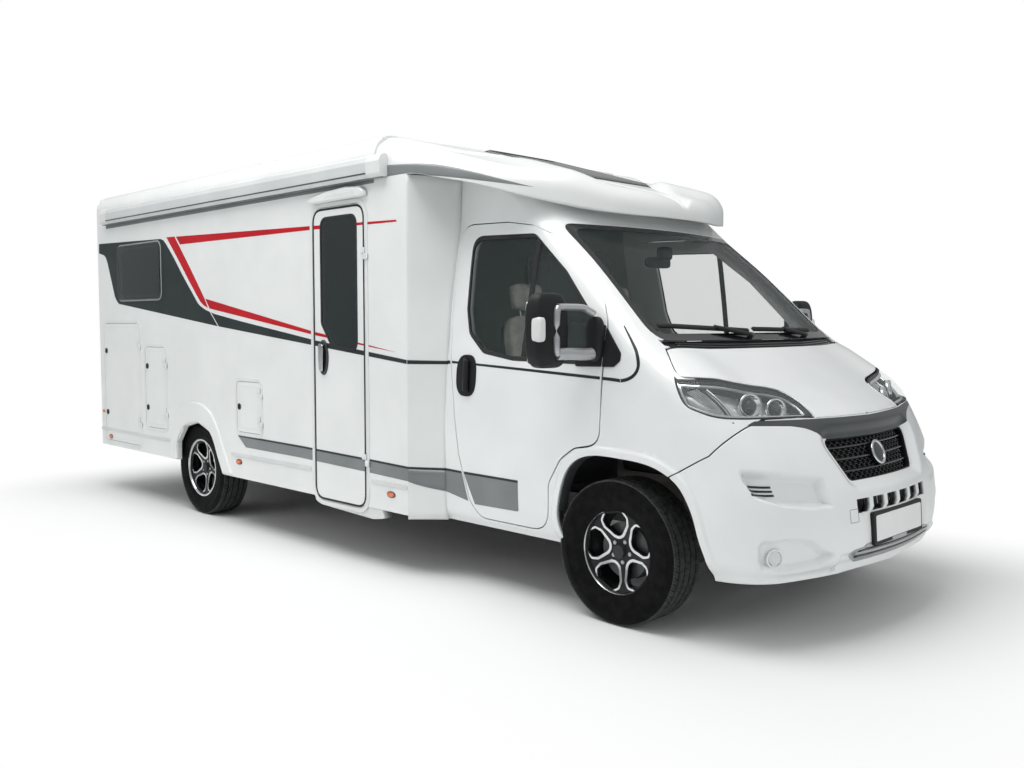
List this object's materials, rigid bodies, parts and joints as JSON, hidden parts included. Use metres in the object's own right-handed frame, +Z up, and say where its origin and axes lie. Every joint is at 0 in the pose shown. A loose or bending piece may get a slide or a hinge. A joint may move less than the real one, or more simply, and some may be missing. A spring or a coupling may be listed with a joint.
{
  "type": "motorhome",
  "caption": "White low-profile motorhome on a van cab with a living body, opening doors, hatches and bonnet, steered front wheels and an awning.",
  "frame": {"origin": "on the ground under the middle of the vehicle's box", "axes": "+X to the nose, +Y to the vehicle's left, +Z up"},
  "size_m": [6.775, 2.68, 2.6699],
  "materials": {
    "body_white": "gloss",
    "dark_glass": "gloss",
    "black_plastic": "satin",
    "interior_plastic": "matte",
    "floor_board": "matte",
    "seat_fabric": "matte",
    "lamp_lens": "gloss",
    "tail_lens": "gloss",
    "awning_metal": "satin",
    "chassis_steel": "matte",
    "engine_metal": "matte",
    "tyre_rubber": "matte",
    "wheel_alloy": "gloss"
  },
  "bodies": {
    "body": {"cab_shell": "body_white", "windscreen": "dark_glass", "wiper_cowl": "black_plastic", "front_bumper": "body_white", "grille": "black_plastic", "headlamp_right": "lamp_lens", "headlamp_left": "lamp_lens", "cab_floor": "floor_board", "dashboard": "interior_plastic", "seat_right": "seat_fabric", "seat_left": "seat_fabric", "living_wall_right": "body_white", "living_wall_left": "body_white", "skirt_right": "body_white", "skirt_left": "body_white", "rear_window_right": "dark_glass", "rear_window_left": "dark_glass", "lounge_window": "dark_glass", "living_wall_rear": "body_white", "living_floor": "floor_board", "living_roof": "body_white", "roof_hatch": "body_white", "overcab_cap": "body_white", "skylight": "dark_glass", "fairing_right": "body_white", "fairing_left": "body_white", "rear_bumper": "body_white", "tail_lamp_right": "tail_lens", "tail_lamp_left": "tail_lens", "awning_cassette": "awning_metal", "chassis_frame": "chassis_steel", "engine_block": "engine_metal", "front_subframe": "chassis_steel", "rear_axle": "chassis_steel"},
    "bonnet": {"bonnet": "body_white"},
    "cab_door_right": {"cab_door_right": "body_white", "cab_glass_right": "dark_glass", "mirror_right": "black_plastic"},
    "cab_door_left": {"cab_door_left": "body_white", "cab_glass_left": "dark_glass", "mirror_left": "black_plastic"},
    "steering_wheel": {"steering_wheel": "black_plastic"},
    "entry_door": {"entry_door": "body_white", "entry_window": "dark_glass"},
    "garage_door": {"garage_door": "body_white"},
    "gas_flap": {"gas_flap": "body_white"},
    "service_flap": {"service_flap": "body_white"},
    "knuckle_right": {"knuckle_right": "chassis_steel"},
    "knuckle_left": {"knuckle_left": "chassis_steel"},
    "wheel_front_right": {"tyre_front_right": "tyre_rubber", "rim_front_right": "wheel_alloy"},
    "wheel_front_left": {"tyre_front_left": "tyre_rubber", "rim_front_left": "wheel_alloy"},
    "wheel_rear_right": {"tyre_rear_right": "tyre_rubber", "rim_rear_right": "wheel_alloy"},
    "wheel_rear_left": {"tyre_rear_left": "tyre_rubber", "rim_rear_left": "wheel_alloy"}
  },
  "joints": [
    {"name": "cab_door_right_swing", "type": "hinge", "parent": "body", "child": "cab_door_right", "pos_m": [2.3085, -1.03, 1], "axis": [0, 0, 1], "range_deg": [0, 68]},
    {"name": "cab_door_left_swing", "type": "hinge", "parent": "body", "child": "cab_door_left", "pos_m": [2.3085, 1.03, 1], "axis": [0, 0, -1], "range_deg": [0, 68]},
    {"name": "entry_door_swing", "type": "hinge", "parent": "body", "child": "entry_door", "pos_m": [0.6035, -1.173, 1.2], "axis": [0, 0, 1], "range_deg": [0, 110]},
    {"name": "garage_door_swing", "type": "hinge", "parent": "body", "child": "garage_door", "pos_m": [-2.5445, -1.173, 0.96], "axis": [0, 0, 1], "range_deg": [0, 90]},
    {"name": "gas_flap_swing", "type": "hinge", "parent": "body", "child": "gas_flap", "pos_m": [-2.0645, -1.173, 0.95], "axis": [0, 0, 1], "range_deg": [0, 90]},
    {"name": "service_flap_swing", "type": "hinge", "parent": "body", "child": "service_flap", "pos_m": [-0.6225, -1.173, 0.89], "axis": [0, 0, 1], "range_deg": [0, 100]},
    {"name": "bonnet_lift", "type": "hinge", "parent": "body", "child": "bonnet", "pos_m": [2.6025, 0, 1.365], "axis": [0, -1, 0], "range_deg": [0, 55]},
    {"name": "steer_right", "type": "hinge", "parent": "body", "child": "knuckle_right", "pos_m": [2.4025, -0.85, 0.36], "axis": [0, 0, 1], "range_deg": [-32, 32]},
    {"name": "steer_left", "type": "hinge", "parent": "body", "child": "knuckle_left", "pos_m": [2.4025, 0.85, 0.36], "axis": [0, 0, 1], "range_deg": [-32, 32]},
    {"name": "steering_wheel_turn", "type": "hinge", "parent": "body", "child": "steering_wheel", "pos_m": [1.9225, 0.43, 1.23], "axis": [-0.866, 0, 0.5], "range_deg": [-450, 450]},
    {"name": "wheel_front_right_spin", "type": "hinge", "parent": "knuckle_right", "child": "wheel_front_right", "pos_m": [2.4025, -0.905, 0.36], "axis": [0, 1, 0], "continuous": true},
    {"name": "wheel_front_left_spin", "type": "hinge", "parent": "knuckle_left", "child": "wheel_front_left", "pos_m": [2.4025, 0.905, 0.36], "axis": [0, 1, 0], "continuous": true},
    {"name": "wheel_rear_right_spin", "type": "hinge", "parent": "body", "child": "wheel_rear_right", "pos_m": [-1.6325, -0.995, 0.36], "axis": [0, 1, 0], "continuous": true},
    {"name": "wheel_rear_left_spin", "type": "hinge", "parent": "body", "child": "wheel_rear_left", "pos_m": [-1.6325, 0.995, 0.36], "axis": [0, 1, 0], "continuous": true}
  ],
  "couplings": [
    {"joint": "steer_left", "follows": "steer_right", "ratio": 1},
    {"joint": "steering_wheel_turn", "follows": "steer_right", "ratio": 14}
  ]
}
